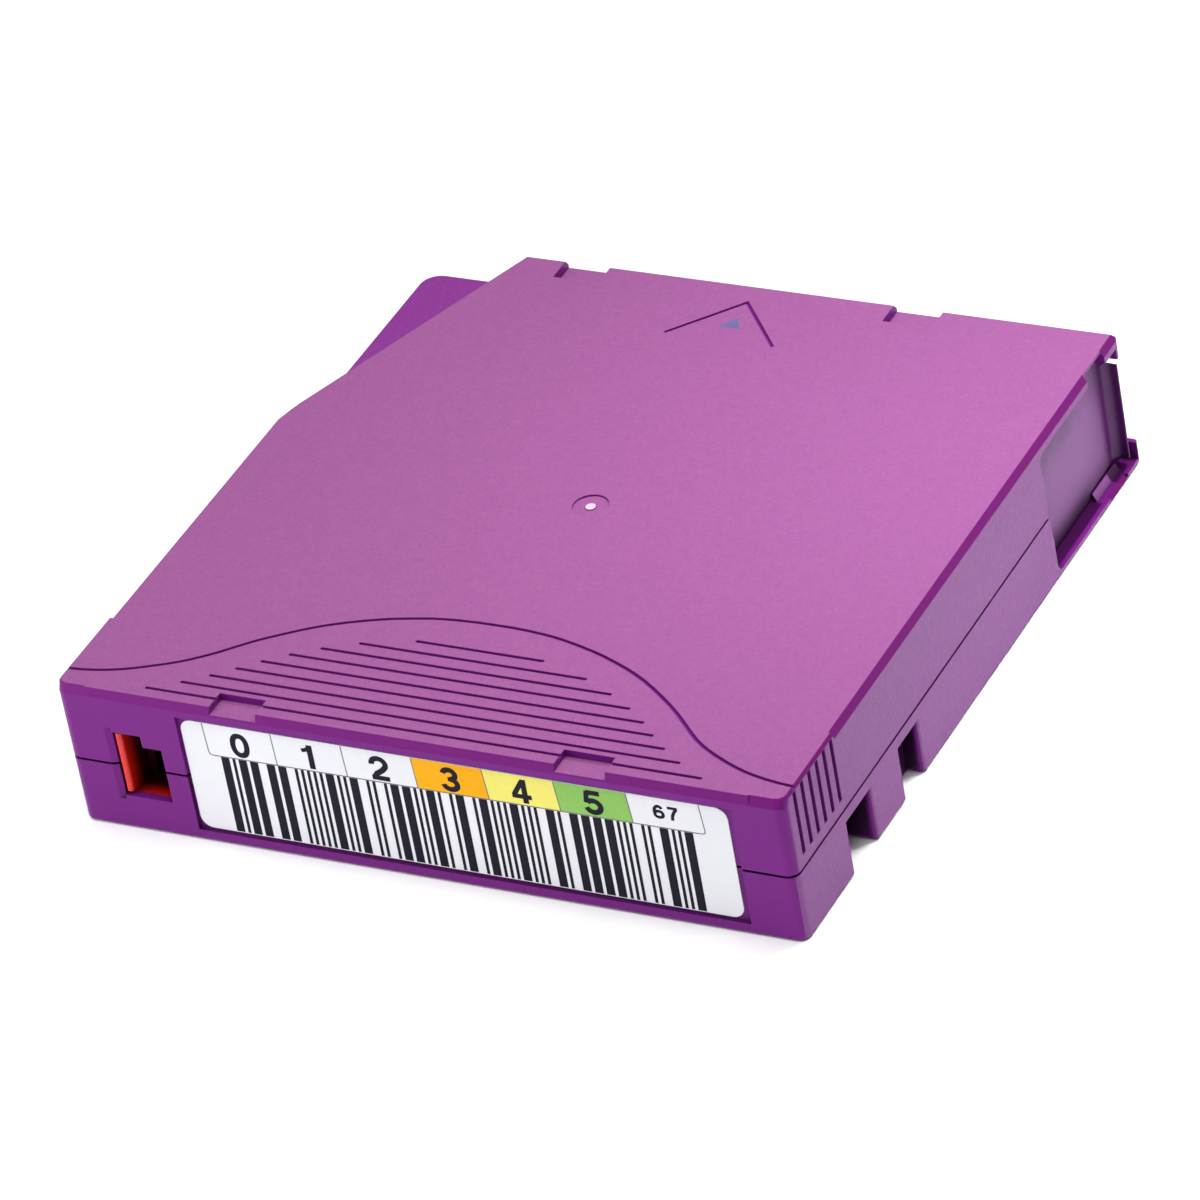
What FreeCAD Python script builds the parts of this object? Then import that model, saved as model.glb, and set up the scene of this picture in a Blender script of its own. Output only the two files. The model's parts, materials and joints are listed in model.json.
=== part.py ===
import FreeCAD, Part
import math
import os
import Sketcher

V = FreeCAD.Vector
PL = FreeCAD.Placement
ROT = FreeCAD.Rotation

doc = FreeCAD.newDocument("data_tape_cartridge")
sheet = doc.addObject("Spreadsheet::Sheet", "Sheet")

# ---------------------------------------------------------------- dimensions (mm)
TABLE = [
    ("case_width", 102.0), ("case_length", 105.4), ("case_height", 21.5),
    ("upper_lead_y", 50.8), ("seam_low", 9.79), ("seam_high", 10.15),
    ("plate_thick", 1.8), ("wall_thick", 1.6), ("corner_radius", 1.5),
    ("label_recess", 0.5), ("label_left", -33.9), ("label_right", 43.7), ("label_low", 1.6), ("label_high", 19.2),
    ("pocket_depth", 1.05), ("groove_depth", 0.35), ("groove_width", 0.5),
    ("grip_depth", 0.5), ("grip_width", 0.85), ("grip_pitch", 2.13), ("grip_first", -49.7),
    ("ledge_height", 16.0),
    ("notch_height", 8.2), ("notch_a_depth", 6.0), ("notch_b_depth", 2.6),
    ("reel_y", -1.0), ("window_radius", 21.0), ("hub_radius", 22.0), ("hub_inner", 19.6),
    ("flange_radius", 48.4), ("flange_low", 2.8), ("flange_low_top", 4.0), ("flange_high", 17.25), ("flange_high_top", 18.35),
    ("boss_radius", 20.5), ("pack_radius", 46.0), ("tape_low", 4.3), ("tape_width", 12.65),
    ("door_inner", 47.7), ("door_outer", 48.7), ("door_near", 23.6), ("door_far", 50.7), ("door_low", 1.2), ("door_high", 19.2),
    ("tab_thick", 0.8), ("tab_low", 2.3), ("tab_high", 17.15),
    ("pin_x", 44.2), ("pin_y", 44.5), ("pin_radius", 1.4), ("pin_head", 2.1), ("pin_low", 2.2), ("pin_high", 19.4),
    ("screw_boss", 3.4), ("screw_head", 2.1), ("screw_shank", 1.2),
    ("brake_radius", 18.0), ("post_side", 5.4), ("sleeve_hole", 6.0),
    ("tooth_count", 60), ("lock_teeth", 48),
]
P = {}
for row, (alias, value) in enumerate(TABLE, start=1):
    sheet.set("A%d" % row, alias)
    sheet.set("B%d" % row, repr(value))
    sheet.setAlias("B%d" % row, alias)
doc.recompute()


class Q(object):
    """A length with the sheet formula that drives it."""

    def __init__(self, value, text):
        self.value = float(value)
        self.text = text

    def _mix(self, other, sign, swap=False):
        ov = other.value if isinstance(other, Q) else float(other)
        ot = other.text if isinstance(other, Q) else repr(float(other))
        a, b, ta, tb = (ov, self.value, ot, self.text) if swap else (self.value, ov, self.text, ot)
        if sign == "+":
            v = a + b
        elif sign == "-":
            v = a - b
        elif sign == "*":
            v = a * b
        else:
            v = a / b
        return Q(v, "(%s %s (%s))" % (ta, sign, tb))

    def __add__(self, o): return self._mix(o, "+")
    def __radd__(self, o): return self._mix(o, "+", True)
    def __sub__(self, o): return self._mix(o, "-")
    def __rsub__(self, o): return self._mix(o, "-", True)
    def __mul__(self, o): return self._mix(o, "*")
    def __rmul__(self, o): return self._mix(o, "*", True)
    def __truediv__(self, o): return self._mix(o, "/")
    def __neg__(self): return Q(-self.value, "(0 - %s)" % self.text)


for alias, value in TABLE:
    P[alias] = Q(value, "Sheet.%s" % alias)


def num(a):
    return a.value if isinstance(a, Q) else float(a)


def body(name):
    b = doc.addObject("PartDesign::Body", name)
    b.Label = name
    return b


def plane(b, role):
    for f in b.Origin.OriginFeatures:
        if f.Role == role:
            return f
    raise RuntimeError(role)


def bind(obj, prop, value):
    if isinstance(value, Q):
        obj.setExpression(prop, value.text)


COUNT = [0]


def sketch(b, role, offset):
    COUNT[0] += 1
    sk = b.newObject("Sketcher::SketchObject", "%s_sketch_%03d" % (b.Name, COUNT[0]))
    sk.AttachmentSupport = (plane(b, role), [""])
    sk.MapMode = "FlatFace"
    sk.AttachmentOffset = PL(V(0, 0, num(offset)), ROT())
    if isinstance(offset, Q):
        sk.setExpression("AttachmentOffset.Base.z", offset.text)
    return sk


def vertex_size(sk, geo, pos, axis, value):
    if isinstance(value, Q) and abs(value.value) > 1e-6:
        kind = "DistanceX" if axis == 0 else "DistanceY"
        if value.value > 0:
            i = sk.addConstraint(Sketcher.Constraint(kind, -1, 1, geo, pos, value.value))
            sk.setExpression("Constraints[%d]" % i, value.text)
        else:
            i = sk.addConstraint(Sketcher.Constraint(kind, geo, pos, -1, 1, -value.value))
            sk.setExpression("Constraints[%d]" % i, (-value).text)


def rect(sk, x0, y0, x1, y1):
    a, b, c, d = num(x0), num(y0), num(x1), num(y1)
    n = sk.GeometryCount
    sk.addGeometry([Part.LineSegment(V(a, b, 0), V(c, b, 0)), Part.LineSegment(V(c, b, 0), V(c, d, 0)),
                    Part.LineSegment(V(c, d, 0), V(a, d, 0)), Part.LineSegment(V(a, d, 0), V(a, b, 0))], False)
    C = Sketcher.Constraint
    sk.addConstraint([C("Coincident", n, 2, n + 1, 1), C("Coincident", n + 1, 2, n + 2, 1), C("Coincident", n + 2, 2, n + 3, 1),
                      C("Coincident", n + 3, 2, n, 1), C("Horizontal", n), C("Horizontal", n + 2), C("Vertical", n + 1), C("Vertical", n + 3)])
    vertex_size(sk, n, 1, 0, x0)
    vertex_size(sk, n, 1, 1, y0)
    vertex_size(sk, n + 1, 2, 0, x1)
    vertex_size(sk, n + 1, 2, 1, y1)


def poly(sk, pts):
    q = [V(num(x), num(y), 0) for x, y in pts]
    n = sk.GeometryCount
    m = len(q)
    sk.addGeometry([Part.LineSegment(q[i], q[(i + 1) % m]) for i in range(m)], False)
    sk.addConstraint([Sketcher.Constraint("Coincident", n + i, 2, n + (i + 1) % m, 1) for i in range(m)])
    for i, (x, y) in enumerate(pts):
        vertex_size(sk, n + i, 1, 0, x)
        vertex_size(sk, n + i, 1, 1, y)


def round_poly(sk, pts):
    """Closed outline of (x, y, radius) corners, arcs at the corners that have a radius."""
    m = len(pts)
    segs = []
    for i in range(m):
        p, a, b = V(pts[i][0], pts[i][1], 0), V(pts[i - 1][0], pts[i - 1][1], 0), V(pts[(i + 1) % m][0], pts[(i + 1) % m][1], 0)
        r = pts[i][2]
        if r <= 0:
            segs.append((p, p, None))
            continue
        u, w = (a - p).normalize(), (b - p).normalize()
        ang = u.getAngle(w)
        t = r / math.tan(ang / 2)
        c = p + (u + w).normalize() * (r / math.sin(ang / 2))
        s, e = p + u * t, p + w * t
        segs.append((s, e, c + (p - c).normalize() * r))
    geo = []
    for i in range(m):
        s, e, mid = segs[i]
        if mid is not None:
            geo.append(Part.Arc(s, mid, e))
        nxt = segs[(i + 1) % m][0]
        if (nxt - e).Length > 1e-7:
            geo.append(Part.LineSegment(e, nxt))
    sk.addGeometry(geo, False)


def circle(sk, x, y, r):
    n = sk.addGeometry(Part.Circle(V(num(x), num(y), 0), V(0, 0, 1), num(r)), False)
    if isinstance(r, Q):
        i = sk.addConstraint(Sketcher.Constraint("Radius", n, r.value))
        sk.setExpression("Constraints[%d]" % i, r.text)
    vertex_size(sk, n, 3, 0, x)
    vertex_size(sk, n, 3, 1, y)


def obround(sk, x0, x1, y, w):
    """Round-ended slot along X."""
    r = w / 2.0
    a, b = x0 + r, x1 - r
    sk.addGeometry([Part.LineSegment(V(a, y - r, 0), V(b, y - r, 0)), Part.Arc(V(b, y - r, 0), V(b + r, y, 0), V(b, y + r, 0)),
                    Part.LineSegment(V(b, y + r, 0), V(a, y + r, 0)), Part.Arc(V(a, y + r, 0), V(a - r, y, 0), V(a, y - r, 0))], False)


def feature(b, kind, role, at, length, draw, grows, back=False):
    sk = sketch(b, role, at)
    draw(sk)
    before = b.Shape.Volume if b.Tip is not None and not b.Shape.isNull() else 0.0
    COUNT[0] += 1
    f = b.newObject(kind, "%s_feature_%03d" % (b.Name, COUNT[0]))
    f.Profile = sk
    f.Length = num(length)
    bind(f, "Length", length)
    f.Reversed = back
    sk.Visibility = False
    doc.recompute()
    change = b.Shape.Volume - before
    if (grows and change <= 1e-6) or (not grows and change >= -1e-6):
        raise RuntimeError("%s changes nothing (%s, %g, %s)" % (f.Name, role, change, f.getStatusString()))
    return f


def pad_z(b, z0, z1, draw): return feature(b, "PartDesign::Pad", "XY_Plane", z0, z1 - z0, draw, True)
def cut_z(b, z0, z1, draw): return feature(b, "PartDesign::Pocket", "XY_Plane", z1, z1 - z0, draw, False)
def pad_x(b, x0, x1, draw): return feature(b, "PartDesign::Pad", "YZ_Plane", x0, x1 - x0, draw, True)
def cut_x(b, x0, x1, draw): return feature(b, "PartDesign::Pocket", "YZ_Plane", x1, x1 - x0, draw, False)
def pad_y(b, y0, y1, draw): return feature(b, "PartDesign::Pad", "XZ_Plane", -y1, y1 - y0, draw, True)
def cut_y(b, y0, y1, draw): return feature(b, "PartDesign::Pocket", "XZ_Plane", -y0, y1 - y0, draw, False)


def revolve(b, draw):
    sk = sketch(b, "XZ_Plane", 0.0)
    draw(sk)
    f = b.newObject("PartDesign::Revolution", "%s_turned" % b.Name)
    f.Profile = sk
    f.ReferenceAxis = (sk, ["V_Axis"])
    f.Angle = 360.0
    sk.Visibility = False
    doc.recompute()
    return f


def pattern(b, feat, count):
    before = b.Shape.Volume
    p = b.newObject("PartDesign::PolarPattern", "%s_pattern_%03d" % (b.Name, COUNT[0]))
    p.Originals = [feat]
    axis = [o for o in b.Origin.OriginFeatures if o.Role == "Z_Axis"][0]
    p.Axis = (axis, [""])
    p.Angle = 360.0
    p.Occurrences = int(num(count))
    bind(p, "Occurrences", count)
    b.Tip = p
    doc.recompute()
    if abs(b.Shape.Volume - before) < 1e-6:
        raise RuntimeError("%s repeats nothing" % p.Name)
    return p


def round_edges(b, radius, test, kind="PartDesign::Fillet"):
    names = ["Edge%d" % (i + 1) for i, e in enumerate(b.Shape.Edges) if test(e)]
    if not names:
        raise RuntimeError("no edges on %s" % b.Name)
    tip = b.Tip
    f = b.newObject(kind, "%s_edge_%03d" % (b.Name, COUNT[0]))
    COUNT[0] += 1
    f.Base = (tip, names)
    if kind.endswith("Fillet"):
        f.Radius = radius
    else:
        f.Size = radius
    doc.recompute()
    if not f.isValid() or f.Shape.isNull() or not f.Shape.isValid():
        raise RuntimeError("edge feature on %s failed" % b.Name)
    return f


hw = P["case_width"] / 2
hl = P["case_length"] / 2
H = P["case_height"]
W2, L2 = hw.value, hl.value
LEAD = P["upper_lead_y"]
SL, SH = P["seam_low"], P["seam_high"]
FLOOR = P["plate_thick"]
ROOF = H - P["plate_thick"]
IN = W2 - 1.6
RY = P["reel_y"]
RYV = RY.value
FR = -L2 + 1.7
REAR = LEAD.value - 1.6
SCREWS = [(-46.2, -43.6), (46.3, -46.8), (-45.4, 45.4), (33.0, 45.6)]
LEDGE = [(-49.11, 11.43), (-34.76, 49.69)]
PINX, PINY = P["pin_x"], P["pin_y"]

# ================================================================ lower shell
lower = body("lower_shell")
R0 = P["corner_radius"].value
pad_z(lower, Q(0, "0"), SL, lambda s: round_poly(s, [(-W2, -L2, R0), (W2, -L2, R0), (W2, L2, 0.8), (-W2, L2, 1.5)]))
# leading face leans back above its foot
cut_x(lower, -hw - 1, hw + 1, lambda s: poly(s, [(hl, 3.4), (hl + 2, 3.4), (hl + 2, 12.0), (LEAD, 12.0), (LEAD, 9.6)]))
round_edges(lower, 0.6, lambda e: e.BoundBox.ZMax < 0.001)
# tongue of the lap joint, then the hollow
pad_z(lower, SL, SL + 1.35, lambda s: round_poly(s, [(-W2 + 0.9, -L2 + 1.1, 0.6), (W2 - 0.9, -L2 + 1.1, 0.6), (W2 - 0.9, LEAD.value - 0.9, 0), (-W2 + 0.9, LEAD.value - 0.9, 1.7)]))
cut_z(lower, FLOOR, SL + 1.4, lambda s: rect(s, -hw + P["wall_thick"], FR, hw - P["wall_thick"], REAR))

# side notches with their inner walls, both sides
NA, NB = (-38.7, -31.6), (-23.2, -17.4)
for sx in (1, -1):
    def walls(s, sx=sx):
        xa = sorted((sx * (IN + 0.4), sx * (W2 - 6.0 - 1.2)))
        xb = sorted((sx * (IN + 0.4), sx * (W2 - 2.6 - 1.2)))
        rect(s, xa[0], NA[0] - 1.2, xa[1], NA[1] + 1.2)
        rect(s, xb[0], NB[0] - 1.2, xb[1], NB[1] + 1.2)
    pad_z(lower, FLOOR - 0.3, P["notch_height"] + 1.2, walls)

    def notch_a(s, sx=sx):
        xs = sorted((sx * (W2 + 1), sx * (W2 - 6.0)))
        rect(s, xs[0], NA[0], xs[1], NA[1])

    def notch_b(s, sx=sx):
        xs = sorted((sx * (W2 + 1), sx * (W2 - 2.6)))
        rect(s, xs[0], NB[0], xs[1], NB[1])
    cut_z(lower, Q(-1, "(0 - 1)"), P["notch_height"], notch_a)
    cut_z(lower, Q(-1, "(0 - 1)"), P["notch_height"], notch_b)

for yb in (NA[1], NB[1]):
    round_edges(lower, 0.7, lambda e: abs(e.BoundBox.YMin - yb) < 0.01 and abs(e.BoundBox.YMax - yb) < 0.01 and abs(abs(e.BoundBox.XMin) - W2) < 0.01 and abs(abs(e.BoundBox.XMax) - W2) < 0.01 and e.BoundBox.ZLength > 5)

# screw bosses, locating bosses, rim round the reel window
pad_z(lower, FLOOR - 0.3, Q(9.7, "9.7"), lambda s: [circle(s, x, y, P["screw_boss"]) for x, y in SCREWS] and None)
pad_z(lower, FLOOR - 0.3, Q(4.2, "4.2"), lambda s: (circle(s, -38.5, 40.0, 3.2), rect(s, 25.2, -48.0, 33.8, -42.8)))
pad_z(lower, FLOOR - 0.3, Q(2.3, "2.3"), lambda s: (circle(s, 0, RY, 23.6),))
cut_z(lower, Q(-1, "(0 - 1)"), Q(3, "3"), lambda s: circle(s, 0, RY, P["window_radius"]))
# under side: round locating hole, locating slot, screw holes
cut_z(lower, Q(-1, "(0 - 1)"), Q(3.0, "3.0"), lambda s: (circle(s, -38.5, 40.0, 2.0), obround(s, 26.4, 32.6, -45.1, 3.4)))
cut_z(lower, Q(-1, "(0 - 1)"), Q(1.9, "1.9"), lambda s: [circle(s, x, y, P["screw_head"] + 0.2) for x, y in SCREWS] and None)
cut_z(lower, Q(1.8, "1.8"), Q(10, "10"), lambda s: [circle(s, x, y, P["screw_shank"]) for x, y in SCREWS] and None)

# channel and recess of the door on the right side
cut_z(lower, Q(0.9, "0.9"), Q(12, "12"), lambda s: rect(s, P["door_inner"] - 0.3, 9.7, hw - P["wall_thick"], 26.2))
cut_x(lower, P["door_inner"] - 0.3, hw + 1, lambda s: round_poly(s, [(25.5, 0.9, 1.4), (51.9, 0.9, 0), (51.9, 12.5, 0), (24.9, 12.5, 0), (24.9, 9.7, 0.4), (25.5, 6.0, 0)]))
cut_x(lower, P["door_inner"] - 0.3, hw + 1, lambda s: poly(s, [(50.0, 3.4), (54.0, 3.4), (54.0, 12.5), (50.0, 12.5)]))
pad_y(lower, Q(41.4, "41.4"), Q(48.9, "48.9"), lambda s: poly(s, [(48.95, 0.7), (49.62, 0.7), (49.58, 0.95), (49.05, 2.05), (48.95, 2.05)]))
cut_y(lower, Q(42.5, "42.5"), Q(48.3, "48.3"), lambda s: poly(s, [(50.3, 0.92), (51.2, 0.12), (52.5, 0.12), (52.5, 1.6), (50.3, 1.6)]))

# write-protect window, label recess
cut_y(lower, -hl - 1, -hl + 2.2, lambda s: rect(s, -44.0, 5.2, -37.0, 13.0))
cut_y(lower, -hl - 1, -hl + P["label_recess"], lambda s: rect(s, P["label_left"], P["label_low"], P["label_right"], 10.2))
cut_z(lower, Q(3.9, "3.9"), Q(5.3, "5.3"), lambda s: rect(s, -44.6, -hl + 1.15, -33.3, -hl + 2.4))
# bevel beside the window
cut_z(lower, Q(4.6, "4.6"), Q(12, "12"), lambda s: poly(s, [(-44.9, -L2 - 0.01), (-43.9, -L2 - 0.01), (-43.9, -L2 + 0.4)]))
# rest of the write-protect slider, seat of the leader pin, stands of the memory chip
pad_y(lower, -hl + 1.7, -hl + 5.2, lambda s: rect(s, -44.6, 1.6, -30.6, 3.9))
pad_z(lower, FLOOR - 0.3, Q(3.4, "3.4"), lambda s: rect(s, 40.6, 41.4, 47.0, 47.6))
cut_z(lower, FLOOR, Q(4, "4"), lambda s: poly(s, [(40.0, 43.0), (41.9, 43.0), (41.9, 42.1), (48.0, 42.1), (48.0, 46.9), (41.9, 46.9), (41.9, 46.0), (40.0, 46.0)]))
for x0 in (34.7, 41.2):
    pad_x(lower, Q(x0, repr(x0)), Q(x0 + 0.9, repr(x0 + 0.9)), lambda s: poly(s, [(FR - 0.3, 1.6), (-42.17, 1.6), (-42.17, 1.8), (-50.17, 9.8), (FR - 0.3, 9.8)]))

# ================================================================ upper shell
upper = body("upper_shell")
pad_z(upper, SH, H, lambda s: round_poly(s, [(-W2, -L2, 0), (W2, -L2, 0), (W2, LEAD.value, 0.6), (-W2, LEAD.value, 2.6)]))
# bevels round the top
cut_x(upper, -hw - 1, hw + 1, lambda s: poly(s, [(-hl - 1, H - 1.3), (-hl, H - 1.3), (-hl + 0.35, H), (-hl + 0.35, H + 1), (-hl - 1, H + 1)]))
cut_x(upper, -hw - 1, Q(-46.6, "(0 - 46.6)"), lambda s: poly(s, [(-hl - 1, H - 1.3), (-hl, H - 1.3), (-hl + 0.55, H), (-hl + 0.55, H + 1), (-hl - 1, H + 1)]))
cut_x(upper, Q(46.2, "46.2"), hw + 1, lambda s: poly(s, [(-hl - 1, H - 1.3), (-hl, H - 1.3), (-hl + 0.55, H), (-hl + 0.55, H + 1), (-hl - 1, H + 1)]))
cut_x(upper, -hw - 1, hw + 1, lambda s: poly(s, [(LEAD + 1, H - 0.8), (LEAD, H - 0.8), (LEAD - 0.7, H), (LEAD - 0.7, H + 1), (LEAD + 1, H + 1)]))
cut_y(upper, -hl - 1, LEAD + 1, lambda s: poly(s, [(-hw - 1, H - 0.45), (-hw, H - 0.45), (-hw + 0.36, H), (-hw + 0.36, H + 1), (-hw - 1, H + 1)]))
cut_y(upper, -hl - 1, LEAD + 1, lambda s: poly(s, [(hw + 1, H - 0.45), (hw, H - 0.45), (hw - 0.36, H), (hw - 0.36, H + 1), (hw + 1, H + 1)]))
# rounded corners at the label end, top bevels included
round_edges(upper, 1.5, lambda e: e.BoundBox.YMax < -L2 + 0.6 and (e.BoundBox.XMin > W2 - 0.5 or e.BoundBox.XMax < -W2 + 0.5) and e.BoundBox.ZLength > 0.2)
cut_y(upper, Q(-38.2, "(0 - 38.2)"), LEAD + 1, lambda s: poly(s, [(-hw - 1, H - 1.0), (-hw, H - 1.0), (-hw + 0.8, H), (-hw + 0.8, H + 1), (-hw - 1, H + 1)]))
cut_y(upper, Q(-38.2, "(0 - 38.2)"), Q(40.7, "40.7"), lambda s: poly(s, [(hw + 1, H - 1.05), (hw, H - 1.05), (hw - 0.6, H), (hw - 0.6, H + 1), (hw + 1, H + 1)]))
cut_z(upper, Q(19.0, "19.0"), H + 1, lambda s: rect(s, hw - 0.5, 40.7, hw + 1, 46.3))
cut_z(upper, Q(19.0, "19.0"), H - 0.42, lambda s: rect(s, 48.5, 40.7, hw + 1, 46.3))
cut_y(upper, Q(46.3, "46.3"), LEAD + 1, lambda s: poly(s, [(hw + 1, H - 1.05), (hw, H - 1.05), (hw - 0.6, H), (hw - 0.6, H + 1), (hw + 1, H + 1)]))

# hollow: lap rebate, lower part, then the part that keeps clear of the cut corner
REB = [(-W2 + 0.84, -L2 + 1.04, 0.64), (W2 - 0.84, -L2 + 1.04, 0.64), (W2 - 0.84, LEAD.value - 0.84, 0), (-W2 + 0.84, LEAD.value - 0.84, 1.76)]
cut_z(upper, SH - 1, SL + 1.5, lambda s: round_poly(s, REB))
cut_z(upper, SH - 1, Q(14.0, "14.0"), lambda s: rect(s, -IN, FR, hw - P["wall_thick"], REAR))
dx, dy = LEDGE[1][0] - LEDGE[0][0], LEDGE[1][1] - LEDGE[0][1]
dl = math.hypot(dx, dy)
nx, ny = dy / dl, -dx / dl
A1 = (LEDGE[0][0] + 1.2 * nx, LEDGE[0][1] + 1.2 * ny)
B1 = (A1[0] + dx / dl * (REAR - A1[1]) / (dy / dl), REAR)
cut_z(upper, Q(13.5, "13.5"), ROOF, lambda s: round_poly(s, [(-IN, FR, 0), (IN, FR, 0), (IN, REAR, 0), (B1[0], B1[1], 0), (A1[0], A1[1], 4.0), (-IN, 4.5, 0)]))
# the cut corner itself, down to the ledge
curve = Part.BSplineCurve()
pts = [V(-52.0, 0.5, 0), V(-50.95, 3.0, 0), V(-50.35, 6.5, 0), V(-49.11, 11.43, 0)]
cut_z(upper, P["ledge_height"], H + 1, lambda s: poly(s, [(-52.2, 0.4), (-50.9, 3.2), (-50.55, 5.2), (-50.12, 7.6), (-49.6, 9.8), (-49.11, 11.43), (-34.76, 49.69), (-34.1, 51.5), (-34.1, 53.0), (-52.2, 53.0)]))

# door recess: side opening, leading-side opening, guides
cut_x(upper, P["door_inner"] - 0.3, hw + 1, lambda s: round_poly(s, [(24.9, 9.0, 0), (49.85, 9.0, 0), (49.85, 19.5, 0), (24.9, 19.5, 1.0)]))
cut_x(upper, P["door_inner"] - 0.3, hw + 1, lambda s: rect(s, 49.0, 9.0, 52.0, 17.85))
pad_z(upper, Q(18.7, "18.7"), ROOF + 0.2, lambda s: (rect(s, 46.8, 13.9, 47.4, 46.2), rect(s, 49.0, 25.2, 49.5, 40.4)))
# screw bosses
pad_z(upper, Q(9.7, "9.7"), Q(14.5, "14.5"), lambda s: [circle(s, x, y, P["screw_boss"]) for x, y in SCREWS if x < 0 < y] and None)
pad_z(upper, Q(9.7, "9.7"), ROOF + 0.2, lambda s: [circle(s, x, y, P["screw_boss"]) for x, y in SCREWS if not (x < 0 < y)] and None)
cut_z(upper, Q(9, "9"), Q(13.5, "13.5"), lambda s: [circle(s, x, y, P["screw_shank"]) for x, y in SCREWS] and None)
# post that keys the brake, stop of the door spring, seat of the leader pin
pad_z(upper, Q(8.8, "8.8"), ROOF + 0.2, lambda s: rect(s, -P["post_side"] / 2, RY - P["post_side"] / 2, P["post_side"] / 2, RY + P["post_side"] / 2))
pad_z(upper, Q(11.6, "11.6"), Q(16.5, "16.5"), lambda s: rect(s, 47.0, 3.6, IN + 0.3, 4.8))
pad_z(upper, Q(18.2, "18.2"), ROOF + 0.2, lambda s: rect(s, 40.6, 41.4, 46.7, 47.6))
cut_z(upper, Q(18, "18"), ROOF, lambda s: poly(s, [(40.0, 43.0), (41.9, 43.0), (41.9, 42.1), (46.8, 42.1), (46.8, 46.9), (41.9, 46.9), (41.9, 46.0), (40.0, 46.0)]))
# room for the tongue of the lower shell beside the bosses
cut_z(upper, SH - 1, SL + 1.5, lambda s: (round_poly(s, REB), rect(s, -hw + 1.66, -hl + 1.76, hw - 1.66, LEAD - 1.66)))

# write-protect window and label recess
cut_y(upper, -hl - 1, -hl + 2.2, lambda s: poly(s, [(-44.0, 9.0), (-37.0, 9.0), (-37.0, 13.4), (-39.7, 13.4), (-39.7, 15.1), (-44.0, 15.1)]))
cut_z(upper, Q(10, "10"), Q(15.7, "15.7"), lambda s: poly(s, [(-44.9, -L2 - 0.01), (-43.9, -L2 - 0.01), (-43.9, -L2 + 0.4)]))
cut_y(upper, -hl - 1, -hl + P["label_recess"], lambda s: rect(s, P["label_left"], 9.0, P["label_right"], P["label_high"]))

# four pockets in the front and leading edges of the top
cut_z(upper, H - P["pocket_depth"], H + 1, lambda s: (rect(s, -28.6, -54.0, -22.0, -49.35), rect(s, 19.8, -54.0, 26.8, -49.35)))
cut_z(upper, H - P["pocket_depth"] - 0.35, H + 1, lambda s: (rect(s, -28.9, 46.4, -22.2, 52.0), rect(s, 19.5, 46.4, 26.6, 52.0)))
# grip grooves on both sides at the label end
for sx in (1, -1):
    def grips(s, sx=sx):
        for k in range(6):
            y = P["grip_first"] + P["grip_pitch"] * k
            xs = (hw - P["grip_depth"], hw + 1) if sx > 0 else (-hw - 1, -hw + P["grip_depth"])
            rect(s, xs[0], y - P["grip_width"] / 2, xs[1], y + P["grip_width"] / 2)
    cut_z(upper, Q(11.7, "11.7"), H - 0.5, grips)

# grooves in the top
gd = P["groove_depth"]
HALF = [(-33.3, -9.0, 9.1), (-35.45, -16.0, 16.1), (-37.6, -20.4, 20.6), (-39.75, -23.8, 24.2), (-41.95, -26.7, 27.2),
        (-44.1, -29.2, 29.5), (-46.25, -31.8, 32.1), (-48.4, -34.8, 35.2), (-50.6, -38.7, 39.2)]
cut_z(upper, H - gd, H + 1, lambda s: [obround(s, a, b, y, P["groove_width"].value) for y, a, b in HALF] and None)
ARC = [(-51.5, -49.3), (-48, -49.0), (-45, -48.3), (-42.5, -47.4), (-40, -46.2), (-37.5, -44.9), (-35, -43.2), (-32.5, -41.1), (-30, -38.7),
       (-27.5, -36.7), (-25, -34.9), (-22.5, -33.3), (-20, -32.0), (-17.5, -30.9), (-15, -29.95), (-12, -29.1), (-9, -28.4), (-6, -28.0), (-3, -27.8), (0, -27.75),
       (3, -27.8), (6, -28.05), (9, -28.5), (12, -29.25), (15, -30.15), (17.5, -31.1), (20, -32.2), (22.5, -33.5), (25, -35.1), (27.5, -36.9), (30, -38.9),
       (32.5, -41.2), (35, -43.5), (37.5, -45.2), (40, -46.5), (42.5, -47.6), (45, -48.4), (48, -49.0), (51.5, -49.35)]


def arc_groove(s):
    w = P["groove_width"].value / 2
    a, b = [], []
    for i, (x, y) in enumerate(ARC):
        x0, y0 = ARC[max(i - 1, 0)]
        x1, y1 = ARC[min(i + 1, len(ARC) - 1)]
        t = math.hypot(x1 - x0, y1 - y0)
        mx, my = -(y1 - y0) / t, (x1 - x0) / t
        a.append(V(x + mx * w, y + my * w, 0))
        b.append(V(x - mx * w, y - my * w, 0))
    ca, cb = Part.BSplineCurve(), Part.BSplineCurve()
    ca.interpolate(a)
    cb.interpolate(b)
    s.addGeometry([ca, cb, Part.LineSegment(a[0], b[0]), Part.LineSegment(a[-1], b[-1])], False)


cut_z(upper, H - gd, H + 1, arc_groove)
w = 0.24


def chevron(s):
    a, b, c = (-8.1, 37.6), (-0.15, 46.5), (7.65, 37.6)
    def off(p, q, k):
        t = math.hypot(q[0] - p[0], q[1] - p[1])
        return ((q[1] - p[1]) / t * -k, (q[0] - p[0]) / t * k)
    o1, o2 = off(a, b, w), off(b, c, w)
    k = w / math.sin(math.atan2(b[0] - a[0], b[1] - a[1]))
    poly(s, [(a[0] + o1[0], a[1] + o1[1]), (b[0], b[1] + k), (c[0] + o2[0], c[1] + o2[1]), (c[0] - o2[0], c[1] - o2[1]), (b[0], b[1] - k), (a[0] - o1[0], a[1] - o1[1])])


cut_z(upper, H - gd, H + 1, chevron)
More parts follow.
